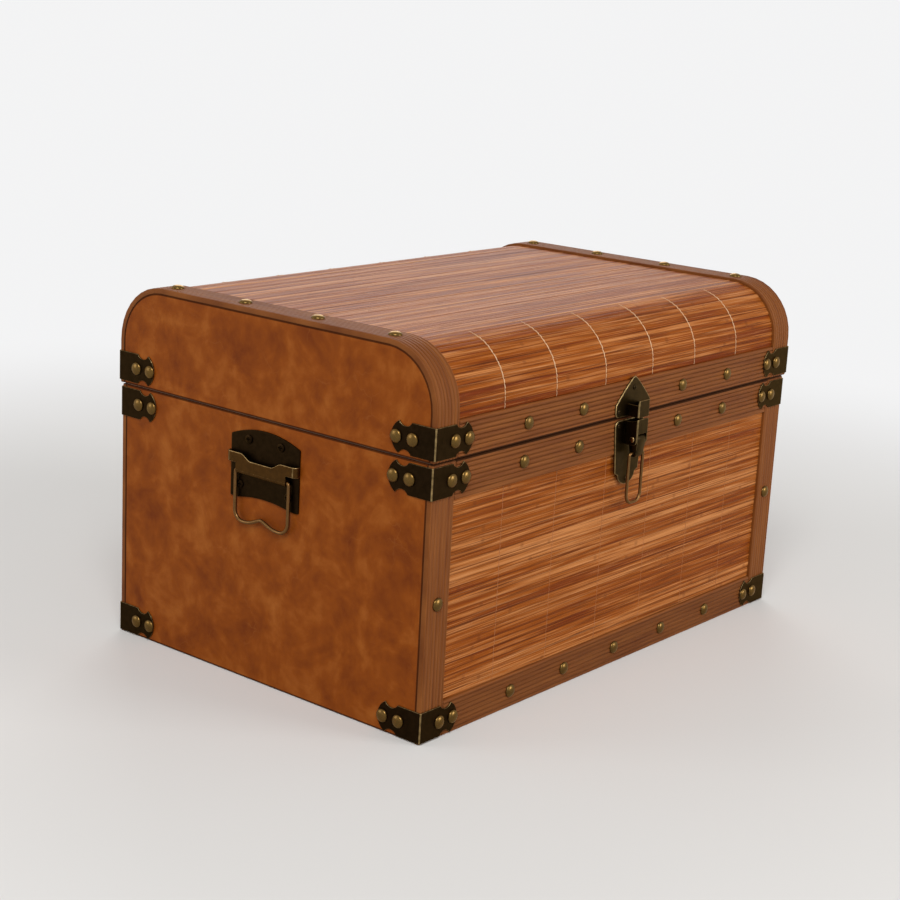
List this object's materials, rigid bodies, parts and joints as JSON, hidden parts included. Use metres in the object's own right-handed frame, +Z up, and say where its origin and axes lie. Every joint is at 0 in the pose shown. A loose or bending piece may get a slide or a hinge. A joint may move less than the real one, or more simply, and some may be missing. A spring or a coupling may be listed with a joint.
{
  "type": "storage trunk",
  "caption": "Storage trunk with a hinged lid rounded at front and back, bamboo and leatherette covering, reeded trim, corner brackets, draw latch and drop handles.",
  "frame": {"origin": "middle of the underside, on the surface the trunk stands on", "axes": "+Z up, +X along the trunk's length, the front with the latch faces -Y"},
  "size_m": [0.5104, 0.3671, 0.3057],
  "materials": {
    "plywood": "raw",
    "bamboo": "satin varnish",
    "reeded_wood": "satin stain",
    "leatherette": "semi-matt, mottled",
    "lining": "matt cloth",
    "antique_brass": "antiqued",
    "bronze_wire": "antiqued",
    "blackened_steel": "blackened, worn at the edges"
  },
  "bodies": {
    "trunk_body": {"back_bamboo_mat": "bamboo", "back_bottom_rail": "reeded_wood", "back_left_post": "reeded_wood", "back_panel": "plywood", "back_right_post": "reeded_wood", "back_top_rail": "reeded_wood", "body_bracket_nails": "antique_brass", "body_floor_lining": "lining", "body_trim_nails": "antique_brass", "body_wall_lining": "lining", "bottom_corner_brackets": "blackened_steel", "bottom_panel": "plywood", "front_bamboo_mat": "bamboo", "front_bottom_rail": "reeded_wood", "front_left_post": "reeded_wood", "front_panel": "plywood", "front_right_post": "reeded_wood", "front_top_rail": "reeded_wood", "hinge_body_screws": "blackened_steel", "hinge_pins": "bronze_wire", "latch_base": "blackened_steel", "latch_base_screws": "blackened_steel", "latch_pin": "bronze_wire", "left_end_board": "plywood", "left_end_leather": "leatherette", "left_handle_plate": "blackened_steel", "left_handle_screws": "blackened_steel", "left_handle_strap": "antique_brass", "left_hinge_body_leaf": "blackened_steel", "right_end_board": "plywood", "right_end_leather": "leatherette", "right_handle_plate": "blackened_steel", "right_handle_screws": "blackened_steel", "right_handle_strap": "antique_brass", "right_hinge_body_leaf": "blackened_steel", "rim_corner_brackets": "blackened_steel"},
    "lid": {"back_lid_rail": "reeded_wood", "front_lid_rail": "reeded_wood", "hinge_lid_screws": "blackened_steel", "latch_keeper": "blackened_steel", "latch_keeper_screws": "blackened_steel", "left_hinge_lid_leaf": "blackened_steel", "lid_bamboo_mat": "bamboo", "lid_bracket_nails": "antique_brass", "lid_corner_brackets": "blackened_steel", "lid_left_band": "reeded_wood", "lid_left_end_board": "plywood", "lid_left_leather": "leatherette", "lid_lining": "lining", "lid_right_band": "reeded_wood", "lid_right_end_board": "plywood", "lid_right_leather": "leatherette", "lid_shell": "plywood", "lid_trim_nails": "antique_brass", "right_hinge_lid_leaf": "blackened_steel"},
    "left_bail": {"left_handle_bail": "bronze_wire"},
    "right_bail": {"right_handle_bail": "bronze_wire"},
    "latch_lever": {"latch_lever": "blackened_steel"},
    "latch_loop": {"latch_loop": "bronze_wire"}
  },
  "joints": [
    {"name": "lid_hinge", "type": "hinge", "parent": "trunk_body", "child": "lid", "pos_m": [0, 0.1745, 0.2176], "axis": [-1, 0, 0], "range_deg": [0, 105]},
    {"name": "left_bail_swing", "type": "hinge", "parent": "trunk_body", "child": "left_bail", "pos_m": [-0.2527, 0, 0.1736], "axis": [0, 1, 0], "range_deg": [0, 90]},
    {"name": "right_bail_swing", "type": "hinge", "parent": "trunk_body", "child": "right_bail", "pos_m": [0.2527, 0, 0.1736], "axis": [0, -1, 0], "range_deg": [0, 90]},
    {"name": "latch_lever_swing", "type": "hinge", "parent": "trunk_body", "child": "latch_lever", "pos_m": [0, -0.1785, 0.1992], "axis": [-1, 0, 0], "range_deg": [0, 90]},
    {"name": "latch_loop_swing", "type": "hinge", "parent": "latch_lever", "child": "latch_loop", "pos_m": [0, -0.1785, 0.1874], "axis": [-1, 0, 0], "range_deg": [0, 105]}
  ]
}
